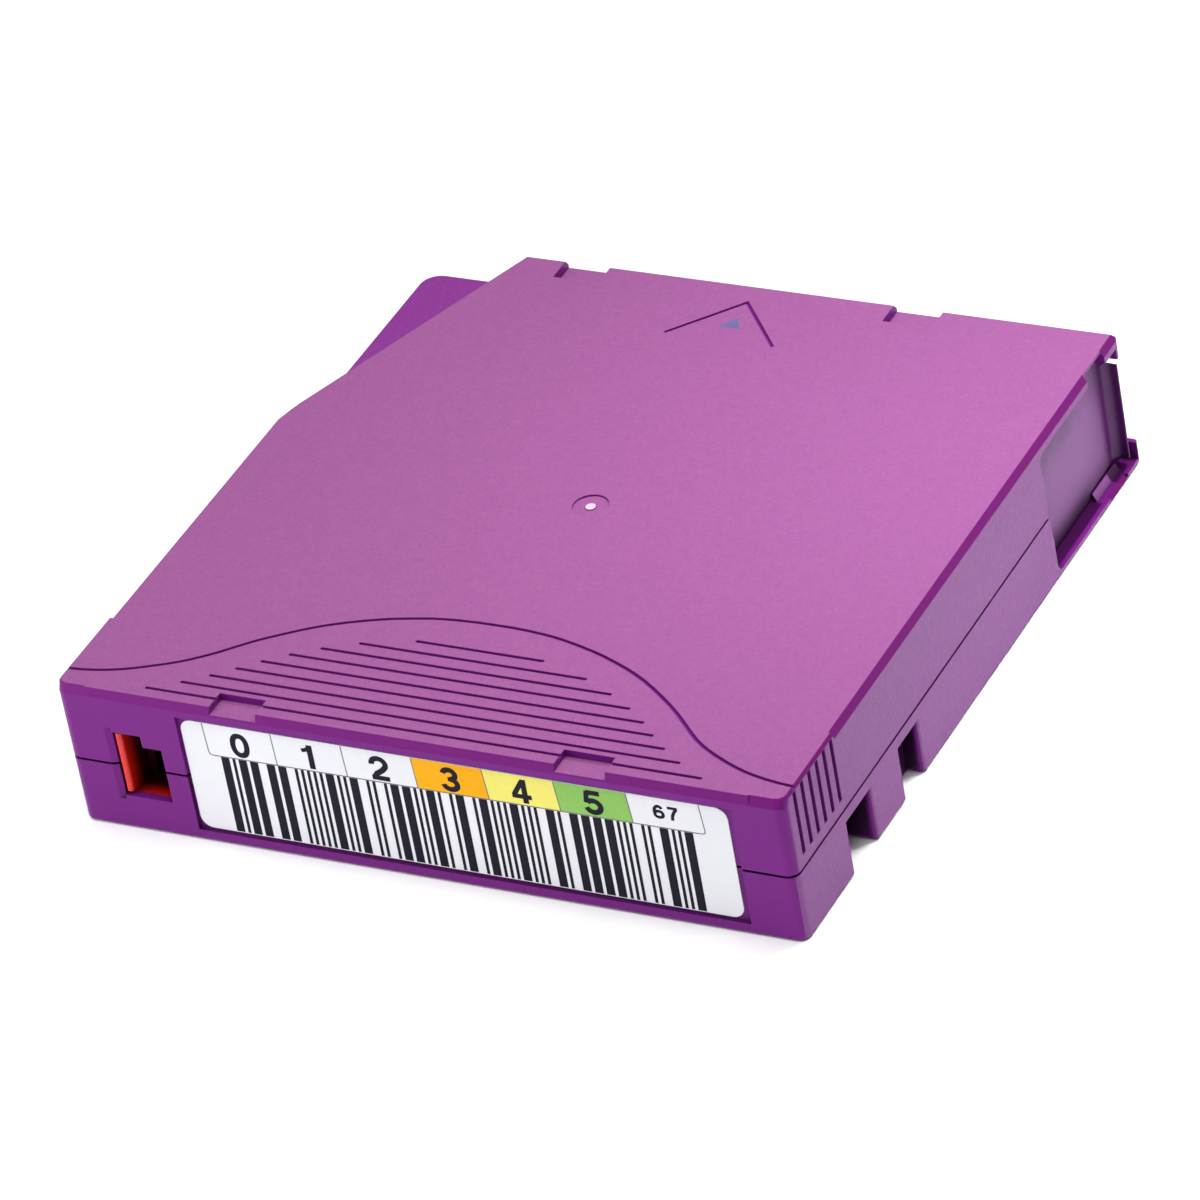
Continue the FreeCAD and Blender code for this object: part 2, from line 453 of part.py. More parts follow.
# gate mark in the middle: shallow dish with a nub
cut_z(upper, H - 0.28, H + 1, lambda s: (circle(s, -0.2, RY, 2.4), circle(s, -0.2, RY, 0.78)))
cut_z(upper, H - 0.16, H + 1, lambda s: circle(s, -0.2, RY, 1.2))

# ================================================================ door and its spring
door = body("door")
pad_z(door, P["door_low"], P["door_high"], lambda s: rect(s, P["door_inner"], P["door_near"], P["door_outer"], P["door_far"]))
cut_x(door, P["door_inner"] - 1, P["door_outer"] + 1, lambda s: poly(s, [(46.8, P["door_high"]), (P["door_far"] - 0.8, P["tab_high"]), (52.0, P["tab_high"]), (52.0, 20.5), (46.8, 20.5)]))
TABY = P["door_far"].value - P["tab_thick"].value
pad_z(door, P["tab_low"], P["tab_high"], lambda s: round_poly(s, [(48.3, TABY - 1.6, 0), (48.7, TABY - 1.6, 0), (48.7, TABY, 1.3), (50.9, TABY, 0.12), (50.3, TABY + 0.8, 0), (48.3, TABY + 0.8, 0)]))
cut_x(door, P["door_inner"] - 1, hw + 1, lambda s: poly(s, [(TABY - 0.05, P["tab_high"]), (TABY + 1.0, P["tab_high"] - 0.9), (53.0, P["tab_high"] - 0.9), (53.0, 20.5), (TABY - 0.05, 20.5)]))


def coil(name, radius, pitch, height, wire, centre, direction):
    """Coil spring swept along a helix with flat closed ends left plain."""
    helix = Part.makeHelix(pitch, height, radius)
    start = V(radius, 0, 0)
    prof = Part.Wire([Part.makeCircle(wire / 2.0, start, V(0, 1, pitch / (2 * math.pi * radius)))])
    sw = Part.Wire(helix.Edges).makePipeShell([prof], True, True)
    f = doc.addObject("Part::Feature", name)
    f.Label = name
    f.Shape = sw
    f.Placement = PL(V(*centre), ROT(V(0, 0, 1), V(*direction)))
    return f


DSY0, DSY1 = 4.8, P["door_near"].value
coil("door_spring", 0.85, 1.45, (DSY1 - DSY0) - 0.4, 0.3, (48.25, DSY0 + 0.2, 13.4), (0, 1, 0))

# ================================================================ reel
hub = body("reel_hub")
hub.Placement = PL(V(0, RYV, 0), ROT())
hub.setExpression("Placement.Base.y", RY.text)
FLt, FLl, FHl, FHt, FRad = P["flange_low_top"], P["flange_low"], P["flange_high"], P["flange_high_top"], P["flange_radius"]
revolve(hub, lambda s: poly(s, [(3.2, 2.0), (16.2, 2.0), (16.2, 1.3), (P["boss_radius"], 1.3), (P["boss_radius"], FLl), (FRad, FLl), (FRad, FLt),
                                (P["hub_radius"], FLt), (P["hub_radius"], FHl), (P["hub_inner"], FHl), (P["hub_inner"], 3.3), (3.2, 3.3)]))
cut_z(hub, Q(1.5, "1.5"), Q(4, "4"), lambda s: [poly(s, [(5.0 * math.cos(a) - 1.3 * math.sin(a), 5.0 * math.sin(a) + 1.3 * math.cos(a)), (5.0 * math.cos(a) + 1.3 * math.sin(a), 5.0 * math.sin(a) - 1.3 * math.cos(a)),
                                                      (8.3 * math.cos(a) + 1.3 * math.sin(a), 8.3 * math.sin(a) - 1.3 * math.cos(a)), (8.3 * math.cos(a) - 1.3 * math.sin(a), 8.3 * math.sin(a) + 1.3 * math.cos(a))]) for a in (math.pi / 2, math.pi * 7 / 6, math.pi * 11 / 6)] and None)
t1 = feature(hub, "PartDesign::Pad", "YZ_Plane", 16.5, 3.7, lambda s: poly(s, [(-0.62, 1.4), (0.62, 1.4), (0.22, 0.6), (-0.22, 0.6)]), True)
pattern(hub, t1, P["tooth_count"])
t2 = feature(hub, "PartDesign::Pad", "YZ_Plane", 13.6, 3.8, lambda s: poly(s, [(-0.5, 3.2), (0.5, 3.2), (0.25, 4.1), (-0.25, 4.1)]), True)
pattern(hub, t2, P["lock_teeth"])

flange = body("reel_upper_flange")
flange.Placement = PL(V(0, RYV, 0), ROT())
flange.setExpression("Placement.Base.y", RY.text)
revolve(flange, lambda s: poly(s, [(P["hub_inner"], FHl), (FRad, FHl), (FRad, FHt), (P["hub_radius"] + 1.5, FHt), (P["hub_radius"] + 1.5, FHt + 0.4), (P["hub_inner"], FHt + 0.4)]))

plate = body("reel_plate")
plate.Placement = PL(V(0, RYV, 0), ROT())
plate.setExpression("Placement.Base.y", RY.text)
pad_z(plate, Q(1.4, "1.4"), Q(2.0, "2.0"), lambda s: (circle(s, 0, 0, 15.7), circle(s, 0, 0, 8.9)))
cut_z(plate, Q(1.0, "1.0"), Q(3.0, "3.0"), lambda s: [circle(s, 12.3 * math.cos(a), 12.3 * math.sin(a), 0.9) for a in (math.pi / 6, math.pi * 5 / 6, math.pi * 3 / 2)] and None)

pack = body("tape_pack")
pack.Placement = PL(V(0, RYV, 0), ROT())
pack.setExpression("Placement.Base.y", RY.text)
pad_z(pack, P["tape_low"], P["tape_low"] + P["tape_width"], lambda s: (circle(s, 0, 0, P["pack_radius"]), circle(s, 0, 0, P["hub_radius"] + 0.02)))

# ================================================================ brake, its spring and the release pad
brake = body("brake_plate")
brake.Placement = PL(V(0, RYV, 0), ROT())
brake.setExpression("Placement.Base.y", RY.text)
pad_z(brake, Q(4.5, "4.5"), Q(5.7, "5.7"), lambda s: circle(s, 0, 0, P["brake_radius"]))
pad_z(brake, Q(5.5, "5.5"), Q(12.0, "12.0"), lambda s: circle(s, 0, 0, 5.4))
cut_z(brake, Q(6.5, "6.5"), Q(13, "13"), lambda s: rect(s, -P["sleeve_hole"] / 2, -P["sleeve_hole"] / 2, P["sleeve_hole"] / 2, P["sleeve_hole"] / 2))
b1 = feature(brake, "PartDesign::Pad", "YZ_Plane", 13.8, 3.4, lambda s: poly(s, [(-0.5, 4.6), (-0.22, 3.65), (0.22, 3.65), (0.5, 4.6)]), True)
pattern(brake, b1, P["lock_teeth"])
# the lock teeth sit half a pitch round from those of the hub
brake.Placement = PL(V(0, RYV, 0), ROT(V(0, 0, 1), 3.75))
brake.setExpression("Placement.Base.y", RY.text)
cut_z(brake, Q(4.0, "4.0"), Q(6.5, "6.5"), lambda s: [circle(s, 11.2 * math.cos(a), 11.2 * math.sin(a), 1.6) for a in (0, math.pi * 2 / 3, math.pi * 4 / 3)] and None)

coil("brake_spring", 7.4, 3.2, 12.8, 0.9, (0, RYV, 6.2), (0, 0, 1))

pad = body("release_pad")
pad.Placement = PL(V(0, RYV, 0), ROT())
pad.setExpression("Placement.Base.y", RY.text)
pad_z(pad, Q(3.5, "3.5"), Q(4.3, "4.3"), lambda s: circle(s, 0, 0, 8.6))
for k, a in enumerate((math.pi / 2, math.pi * 7 / 6, math.pi * 11 / 6)):
    c, sn = math.cos(a), math.sin(a)
    pad_z(pad, Q(1.5, "1.5"), Q(3.6, "3.6"), lambda s: poly(s, [(5.4 * c - 0.95 * sn, 5.4 * sn + 0.95 * c), (5.4 * c + 0.95 * sn, 5.4 * sn - 0.95 * c),
                                                            (7.9 * c + 0.95 * sn, 7.9 * sn - 0.95 * c), (7.9 * c - 0.95 * sn, 7.9 * sn + 0.95 * c)]))
cut_z(pad, Q(3.0, "3.0"), Q(3.9, "3.9"), lambda s: circle(s, 0, 0, 2.2))

# ================================================================ tape end, leader pin, clamp and pin springs
lead = body("tape_lead")
pad_z(lead, P["tape_low"], P["tape_low"] + P["tape_width"], lambda s: rect(s, PINX + 2.22, -0.8, PINX + 2.36, 45.6))

pin = body("leader_pin")
pin.Placement = PL(V(PINX.value, PINY.value, 0), ROT())
pin.setExpression("Placement.Base.x", PINX.text)
pin.setExpression("Placement.Base.y", PINY.text)
pr, ph = P["pin_radius"], P["pin_head"]
revolve(pin, lambda s: poly(s, [(0, 2.2), (ph - 0.5, 2.2), (ph, 2.7), (ph, 3.3), (pr, 3.3), (pr, 4.5), (ph, 4.5), (ph, 5.1), (pr, 5.1), (pr, 16.3), (ph, 16.3), (ph, 16.9),
                                (pr, 16.9), (pr, 18.2), (ph, 18.2), (ph, 18.9), (ph - 0.5, 19.4), (0, 19.4)]))

clamp = body("leader_pin_clamp")
clamp.Placement = PL(V(PINX.value, PINY.value, 0), ROT())
clamp.setExpression("Placement.Base.x", PINX.text)
clamp.setExpression("Placement.Base.y", PINY.text)
pad_z(clamp, Q(5.3, "5.3"), Q(16.1, "16.1"), lambda s: (circle(s, 0, 0, 2.2), circle(s, 0, 0, pr + 0.02)))
cut_z(clamp, Q(5, "5"), Q(17, "17"), lambda s: poly(s, [(-0.2, -0.9), (-3.0, -1.6), (-3.0, 1.6), (-0.2, 0.9)]))

for name, z0, z1, sgn in (("pin_spring_lower", 1.8, 2.2, 1), ("pin_spring_upper", 19.7, 19.4, -1)):
    sp = body(name)
    th = 0.18 * sgn
    pts = [(36.6, z0), (40.2, z0), (42.2, z0 + 0.12 * sgn), (44.2, z1 - th), (45.6, z0 + 0.1 * sgn)]
    top = [(x, z + th) for x, z in pts]
    pad_y(sp, PINY - 1.3, PINY + 1.3, lambda s: poly(s, pts + top[::-1]))

# ================================================================ small parts of the case
tab = body("write_protect_tab")
ty = -L2 + 0.35
pad_z(tab, Q(4.1, "4.1"), Q(14.7, "14.7"), lambda s: round_poly(s, [(-43.75, ty, 0.25), (-42.85, ty, 0.5), (-42.85, -L2 + 5.3, 0), (-42.0, -L2 + 5.3, 0), (-42.0, -L2 + 6.0, 0), (-43.75, -L2 + 6.0, 0)]))
pad_z(tab, Q(4.1, "4.1"), Q(5.0, "5.0"), lambda s: rect(s, -43.0, -hl + 1.35, -36.8, -hl + 6.0))
cut_z(tab, Q(4.0, "4.0"), Q(5.6, "5.6"), lambda s: rect(s, -43.9, -hl, -42.84, -hl + 1.34))

label = body("barcode_label")
lz0, lz1 = 2.0, 18.75
pad_y(label, -hl + 0.38, -hl + 0.5, lambda s: round_poly(s, [(-33.55, lz0, 1.7), (42.75, lz0, 1.7), (42.75, lz1, 1.7), (-33.55, lz1, 1.7)]))

chip = doc.addObject("Part::Box", "memory_chip")
chip.Label = "memory_chip"
chip.Length, chip.Width, chip.Height = 8.0, 10.0, 0.8
chip.Placement = PL(V(34.4, -46.2, 6.4), ROT(V(1, 0, 0), -45)).multiply(PL(V(0, -5.0, -0.4), ROT()))

glob = doc.addObject("Part::Box", "memory_chip_cover")
glob.Label = "memory_chip_cover"
glob.Length, glob.Width, glob.Height = 5.0, 5.0, 0.9
glob.Placement = PL(V(35.9, -46.2, 6.4), ROT(V(1, 0, 0), -45)).multiply(PL(V(0, -2.5, 0.4), ROT()))

screws = []
for i, (x, y) in enumerate(SCREWS):
    head = doc.addObject("Part::Cylinder", "screw_head_%d" % i)
    head.setExpression("Radius", "Sheet.screw_head")
    head.Height = 1.35
    head.Placement = PL(V(x, y, 0.5), ROT())
    shank = doc.addObject("Part::Cylinder", "screw_shank_%d" % i)
    shank.setExpression("Radius", "Sheet.screw_shank - 0.02")
    shank.Height = 10.5
    shank.Placement = PL(V(x, y, 1.7), ROT())
    slot_a = doc.addObject("Part::Box", "screw_drive_a_%d" % i)
    slot_a.Length, slot_a.Width, slot_a.Height = 2.4, 0.6, 0.7
    slot_a.Placement = PL(V(x - 1.2, y - 0.3, 0.3), ROT())
    slot_b = doc.addObject("Part::Box", "screw_drive_b_%d" % i)
    slot_b.Length, slot_b.Width, slot_b.Height = 0.6, 2.4, 0.7
    slot_b.Placement = PL(V(x - 0.3, y - 1.2, 0.3), ROT())
    fuse = doc.addObject("Part::Fuse", "screw_body_%d" % i)
    fuse.Base, fuse.Tool = head, shank
    cross = doc.addObject("Part::Fuse", "screw_cross_%d" % i)
    cross.Base, cross.Tool = slot_a, slot_b
    cut = doc.addObject("Part::Cut", "screw_%d" % i)
    cut.Base, cut.Tool = fuse, cross
    screws.append(cut)
group = doc.addObject("Part::Compound", "case_screws")
group.Label = "case_screws"
group.Links = screws

# ================================================================ checks and files
doc.recompute()
for obj in doc.Objects:
    bad = [t for t in obj.State if t in ("Invalid", "Error")]
    if bad:
        raise RuntimeError("%s is %s" % (obj.Name, bad))

NODES = ["lower_shell", "upper_shell", "door", "door_spring", "reel_hub", "reel_upper_flange", "reel_plate", "tape_pack", "tape_lead",
         "leader_pin", "leader_pin_clamp", "pin_spring_lower", "pin_spring_upper", "brake_plate", "brake_spring", "release_pad",
         "write_protect_tab", "memory_chip", "memory_chip_cover", "barcode_label", "case_screws"]
os.makedirs("parts", exist_ok=True)
for name in NODES:
    obj = [o for o in doc.Objects if o.Label == name][0]
    shape = obj.Shape
    if shape.isNull() or not shape.isValid():
        raise RuntimeError("%s has no valid shape" % name)
    box = shape.BoundBox
    print("%-18s solids %d  volume %9.2f  x %.2f..%.2f  y %.2f..%.2f  z %.2f..%.2f" % (name, len(shape.Solids), shape.Volume, box.XMin, box.XMax, box.YMin, box.YMax, box.ZMin, box.ZMax))
    shape.exportStep("parts/%s.step" % name)
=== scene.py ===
import json
import math

import bmesh
import bpy
from mathutils import Matrix, Vector

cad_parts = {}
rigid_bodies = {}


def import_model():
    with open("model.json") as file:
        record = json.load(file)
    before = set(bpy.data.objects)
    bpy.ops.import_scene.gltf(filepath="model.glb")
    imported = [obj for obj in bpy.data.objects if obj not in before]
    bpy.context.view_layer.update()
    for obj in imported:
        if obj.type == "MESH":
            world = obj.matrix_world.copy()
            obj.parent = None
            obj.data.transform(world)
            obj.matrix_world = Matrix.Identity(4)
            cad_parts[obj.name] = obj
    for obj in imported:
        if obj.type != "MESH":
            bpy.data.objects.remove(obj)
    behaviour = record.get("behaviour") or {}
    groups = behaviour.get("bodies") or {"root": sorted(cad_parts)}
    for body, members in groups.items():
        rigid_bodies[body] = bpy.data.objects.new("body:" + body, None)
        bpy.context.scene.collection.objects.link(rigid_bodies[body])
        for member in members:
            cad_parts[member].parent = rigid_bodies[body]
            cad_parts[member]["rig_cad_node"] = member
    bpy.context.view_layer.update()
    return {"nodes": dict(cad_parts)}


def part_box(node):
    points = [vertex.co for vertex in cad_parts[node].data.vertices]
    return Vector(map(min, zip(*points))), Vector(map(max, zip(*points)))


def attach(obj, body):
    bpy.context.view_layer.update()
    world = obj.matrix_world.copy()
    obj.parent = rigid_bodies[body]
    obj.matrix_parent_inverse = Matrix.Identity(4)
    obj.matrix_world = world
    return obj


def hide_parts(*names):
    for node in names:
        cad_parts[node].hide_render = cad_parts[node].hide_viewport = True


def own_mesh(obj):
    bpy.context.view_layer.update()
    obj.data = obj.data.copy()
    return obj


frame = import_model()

MM = 0.001
nodes = frame["nodes"]
scene = bpy.context.scene
scene.view_settings.view_transform = "Standard"
scene.view_settings.look = "None"
scene.view_settings.exposure = 0.0
scene.view_settings.gamma = 1.0


# ------------------------------------------------------------------ materials
def lin(r, g, b):
    """A display colour (0-255) as linear numbers."""
    out = []
    for c in (r, g, b):
        c = c / 255.0
        out.append(c / 12.92 if c <= 0.04045 else ((c + 0.055) / 1.055) ** 2.4)
    return tuple(out) + (1.0,)


def times(c, k):
    return tuple(min(1.0, x * k) for x in c[:3]) + (1.0,)


class Mat:
    """A procedural material: small calls that add and join shader nodes."""

    def __init__(self, name):
        self.m = bpy.data.materials.new(name)
        self.m.use_nodes = True
        self.t = self.m.node_tree
        self.t.nodes.clear()
        self.out = self.t.nodes.new("ShaderNodeOutputMaterial")
        self.b = self.t.nodes.new("ShaderNodeBsdfPrincipled")
        self.t.links.new(self.b.outputs[0], self.out.inputs[0])
        self.coord = self.t.nodes.new("ShaderNodeTexCoord")
        self.geo = self.t.nodes.new("ShaderNodeNewGeometry")

    def link(self, a, b):
        self.t.links.new(a, b)

    def node(self, kind, **kw):
        n = self.t.nodes.new(kind)
        for k, v in kw.items():
            setattr(n, k, v)
        return n

    def stretch(self, sx, sy, sz):
        n = self.node("ShaderNodeMapping")
        n.inputs["Scale"].default_value = (sx, sy, sz)
        self.link(self.coord.outputs["Object"], n.inputs["Vector"])
        return n.outputs[0]

    def noise(self, scale, detail=2.0, rough=0.5, vector=None):
        n = self.node("ShaderNodeTexNoise")
        n.inputs["Scale"].default_value = scale
        n.inputs["Detail"].default_value = detail
        n.inputs["Roughness"].default_value = rough
        self.link(vector or self.coord.outputs["Object"], n.inputs["Vector"])
        return n.outputs["Fac"]

    def math(self, op, a, b=None, clamp=False):
        n = self.node("ShaderNodeMath", operation=op, use_clamp=clamp)
        for i, v in enumerate((a, b)):
            if v is None:
                continue
            if isinstance(v, (int, float)):
                n.inputs[i].default_value = v
            else:
                self.link(v, n.inputs[i])
        return n.outputs[0]

    def ramp(self, fac, lo, hi, a=0.0, b=1.0):
        n = self.node("ShaderNodeMapRange")
        n.inputs["From Min"].default_value = lo
        n.inputs["From Max"].default_value = hi
        n.inputs["To Min"].default_value = a
        n.inputs["To Max"].default_value = b
        self.link(fac, n.inputs["Value"])
        return n.outputs[0]

    def mix(self, fac, a, b, mode="MIX"):
        n = self.node("ShaderNodeMix", data_type="RGBA", blend_type=mode)
        self.link(fac, n.inputs[0])
        for i, v in ((6, a), (7, b)):
            if isinstance(v, tuple):
                n.inputs[i].default_value = v
            else:
                self.link(v, n.inputs[i])
        return n.outputs[2]

    def soft_normal(self, radius):
        n = self.node("ShaderNodeBevel", samples=4)
        n.inputs["Radius"].default_value = radius
        return n.outputs[0]

    def edge(self, soft, gain):
        """Nearly 0 on flat places, up to 1 along the edges; the mask for painted edge highlights."""
        n = self.node("ShaderNodeVectorMath", operation="DOT_PRODUCT")
        self.link(soft, n.inputs[0])
        self.link(self.geo.outputs["Normal"], n.inputs[1])
        inv = self.math("SUBTRACT", 1.0, n.outputs["Value"])
        return self.math("MULTIPLY", inv, gain, clamp=True)

    def hollow(self, distance, lo=0.40, hi=0.92, samples=2, own=False):
        """1 on open surfaces, falling to 0 deep in narrow hollows, a mask for painted shade; own counts only the piece
        itself.
        """
        n = self.node("ShaderNodeAmbientOcclusion", samples=samples, only_local=own)
        n.inputs["Distance"].default_value = distance
        return self.ramp(n.outputs["AO"], lo, hi)

    def blend(self, fac, a, b):
        """Number a where fac is 0, b where it is 1."""
        n = self.node("ShaderNodeMix", data_type="FLOAT")
        self.link(fac, n.inputs[0])
        for i, v in ((2, a), (3, b)):
            if isinstance(v, (int, float)):
                n.inputs[i].default_value = v
            else:
                self.link(v, n.inputs[i])
        return n.outputs[0]

    def between(self, axis, lo, hi, soft=0.0002):
        """1 where the object's coordinate is between two values."""
        c = self.where(axis)
        return self.math("MULTIPLY", self.ramp(c, lo - soft, lo), self.ramp(c, hi, hi + soft, 1.0, 0.0))

    def bump(self, height, distance, strength=1.0, normal=None):
        n = self.node("ShaderNodeBump")
        n.inputs["Strength"].default_value = strength
        n.inputs["Distance"].default_value = distance
        self.link(height, n.inputs["Height"])
        if normal is not None:
            self.link(normal, n.inputs["Normal"])
        return n.outputs[0]

    def facing(self, axis):
        """How much the surface looks along an axis of the object, with sign dropped for x."""
        s = self.node("ShaderNodeSeparateXYZ")
        self.link(self.geo.outputs["True Normal"], s.inputs[0])
        v = s.outputs[axis]
        return self.math("ABSOLUTE", v) if axis == 0 else v

    def where(self, axis):
        s = self.node("ShaderNodeSeparateXYZ")
        self.link(self.coord.outputs["Object"], s.inputs[0])
        return s.outputs[axis]

    def set(self, **kw):
        for k, v in kw.items():
            name = k.replace("_", " ")
            self.b.inputs[name].default_value = v


def shell(name, base, top_tint, side_tint, lower=False):
    """Moulded shell plastic: spark-eroded grain on the broad faces, smooth bevels and recesses; painted sheen and light
    on the top and sides, painted shade on bevels and in hollows, painted highlights along edges.
    """
    m = Mat(name)
    soft = m.soft_normal(0.00022)
    up = m.ramp(m.facing(2), 0.97, 0.995)
    z = m.where(2)
    level = m.math("MAXIMUM", m.ramp(z, 0.02138, 0.02144), m.ramp(z, 0.02102, 0.02108, 1.0, 0.0))
    dx, dy = m.math("ADD", m.where(0), 0.0002), m.math("ADD", m.where(1), 0.001)
    reach = m.math("SQRT", m.math("ADD", m.math("MULTIPLY", dx, dx), m.math("MULTIPLY", dy, dy)))
    level = m.math("MAXIMUM", level, m.ramp(reach, 0.00245, 0.0026, 1.0, 0.0))
    level = m.math("MULTIPLY", level, m.ramp(z, 0.0150, 0.0155))
    level = m.math("MULTIPLY", level, m.ramp(z, 0.0176, 0.0180, 0.22, 1.0))
    top = m.math("MULTIPLY", up, level)
    reach_x = m.math("ABSOLUTE", m.where(0))
    out = m.ramp(reach_x, 0.0494, 0.0497)
    if lower:
        out = m.math("MAXIMUM", out, m.math("MULTIPLY", m.ramp(reach_x, 0.0487, 0.0489), m.between(1, 0.0412, 0.0458, 0.0006)))
    side = m.math("MULTIPLY", m.ramp(m.facing(0), 0.76 if lower else 0.955, 0.80 if lower else 0.985), out)
    grained = m.math("MAXIMUM", top, side)
    fine = m.noise(3600.0, 3.0, 0.62)
    cell = m.noise(1700.0, 2.0, 0.5)
    broad = m.noise(28.0, 3.0, 0.55)
    cloud = m.noise(900.0, 3.0, 0.6)
    col = m.mix(m.ramp(broad, 0.35, 0.65), times(base, 0.95), times(base, 1.05))
    # bevels and chamfers darker and deeper purple: partly their smooth ungrained finish, partly painted shade for the
    # dark surroundings they reflect
    tilt = m.math("MULTIPLY", m.ramp(m.facing(2), 0.15, 0.28), m.math("SUBTRACT", 1.0, up))
    col = m.mix(tilt, col, (base[0] * 0.94, base[1] * 0.60, base[2] * 0.82, 1.0))
    flank_shade = m.math("MULTIPLY", tilt, m.ramp(m.facing(0), 0.45, 0.60))
    col = m.mix(flank_shade, col, (base[0] * 0.74, base[1] * 0.40, base[2] * 0.56, 1.0))
    # lighter top and side faces: partly the grain's haze, partly painted sheen and light
    col = m.mix(side, col, side_tint)
    col = m.mix(top, col, top_tint)
    speck = m.math("MULTIPLY", m.ramp(fine, 0.38, 0.62, 0.0, 1.0), m.ramp(grained, 0.0, 1.0, 0.02, 0.55))
    light_grain = m.mix(side, times(top_tint, 1.30), times(side_tint, 1.22))
    col = m.mix(speck, col, light_grain)
    dusk = m.math("MULTIPLY", m.ramp(cloud, 0.40, 0.66, 0.0, 1.0), m.ramp(grained, 0.0, 1.0, 0.04, 0.10))
    col = m.mix(dusk, col, times(base, 0.90))
    # painted highlight: lighter along the edges, weaker on the bevels
    col = m.mix(m.math("MULTIPLY", m.edge(soft, 3.0), m.ramp(tilt, 0.0, 1.0, 0.16, 0.04)), col, times(top_tint, 1.15))
    # painted shade in hollows: seam and grooves shaded by any neighbour, the lowest part by the piece itself
    clear = m.blend(m.ramp(z, 0.0045, 0.0055), m.hollow(0.0045, own=True), m.hollow(0.0045))
    clear = m.math("MAXIMUM", clear, m.math("MULTIPLY", top, m.ramp(z, 0.0176, 0.0180)))
    col = m.mix(clear, times(base, 0.14 if lower else 0.80), col)
    if lower:
        # painted shade: the grip notches' inner walls darkened to nearly black, kept off the underside
        inside = m.math("MULTIPLY", m.ramp(reach_x, 0.0499, 0.0507, 1.0, 0.0), m.ramp(z, 0.0083, 0.0086, 1.0, 0.0))
        raised = m.ramp(z, 0.0002, 0.0007)
        inside = m.math("MULTIPLY", m.math("MULTIPLY", inside, raised), m.between(1, -0.0395, -0.0160))
        deep = m.math("MULTIPLY", inside, m.ramp(m.hollow(0.012, 0.0, 1.0, own=True), 0.55, 0.95, 1.0, 0.35))
        col = m.mix(deep, col, times(base, 0.05))
        # painted shadow along the bottom of the door recess, beside the door plate
        sill = m.math("MULTIPLY", m.ramp(reach_x, 0.0502, 0.0505, 1.0, 0.0), m.ramp(m.where(0), 0.0480, 0.0483))
        sill = m.math("MULTIPLY", sill, raised)
        sill = m.math("MULTIPLY", sill, m.math("MULTIPLY", m.ramp(z, 0.0030, 0.0034, 1.0, 0.0), m.math("MAXIMUM", m.between(1, 0.0250, 0.0412), m.between(1, 0.0462, 0.0495))))
        col = m.mix(m.math("MULTIPLY", sill, 0.85), col, times(base, 0.12))
    m.link(col, m.b.inputs["Base Color"])
    rough = m.ramp(grained, 0.0, 1.0, 0.36, 0.46)
    rough = m.math("ADD", rough, m.ramp(cell, 0.3, 0.7, -0.04, 0.05))
    m.link(rough, m.b.inputs["Roughness"])
    h = m.math("ADD", m.math("MULTIPLY", fine, 0.6), m.math("MULTIPLY", cell, 0.7))
    h = m.math("MULTIPLY", h, m.ramp(grained, 0.0, 1.0, 0.15, 1.0))
    m.link(m.bump(h, 0.00006, 0.85, soft), m.b.inputs["Normal"])
    m.set(IOR=1.49, Specular_IOR_Level=0.14)
    return m.m


def door_look(base, face):
    """Door: lilac grain on the broad outer face, partly painted sheen and light; smooth deeper purple on the finger
    tab, partly painted shade, darkest at the tab's root.
    """
    m = Mat("door_plastic")
    soft = m.soft_normal(0.00025)
    # the lilac face fades out towards the tab: painted shade at the tab's root
    broad_face = m.math("MULTIPLY", m.ramp(m.facing(0), 0.955, 0.985), m.ramp(m.where(1), 0.0466, 0.0484, 1.0, 0.0))
    fine = m.noise(3400.0, 3.0, 0.6)
    cloud = m.noise(120.0, 3.0, 0.55)
    col = m.mix(m.ramp(cloud, 0.35, 0.65), times(base, 0.93), times(base, 1.06))
    col = m.mix(broad_face, col, face)
    speck = m.math("MULTIPLY", m.ramp(fine, 0.36, 0.64), m.ramp(broad_face, 0.0, 1.0, 0.03, 0.30))
    col = m.mix(speck, col, times(face, 1.25))
    # painted highlight along the edges
    col = m.mix(m.math("MULTIPLY", m.edge(soft, 3.0), 0.35), col, times(face, 1.1))
    # painted shade in hollows
    col = m.mix(m.hollow(0.0065, 0.50, 0.93), times(base, 0.16), col)
    # painted shadow: a soft dark band low on the plate, ending before the tab's ramp
    foot = m.math("MULTIPLY", m.ramp(m.where(2), 0.0012, 0.0042, 0.85, 0.0), m.ramp(m.where(1), 0.0400, 0.0418, 1.0, 0.0))
    col = m.mix(foot, col, times(base, 0.14))
    m.link(col, m.b.inputs["Base Color"])
    m.link(m.ramp(broad_face, 0.0, 1.0, 0.34, 0.52), m.b.inputs["Roughness"])
    h = m.math("MULTIPLY", fine, m.ramp(broad_face, 0.0, 1.0, 0.2, 1.0))
    m.link(m.bump(h, 0.00003, 0.7, soft), m.b.inputs["Normal"])
    m.set(IOR=1.49, Specular_IOR_Level=0.3)
    return m.m


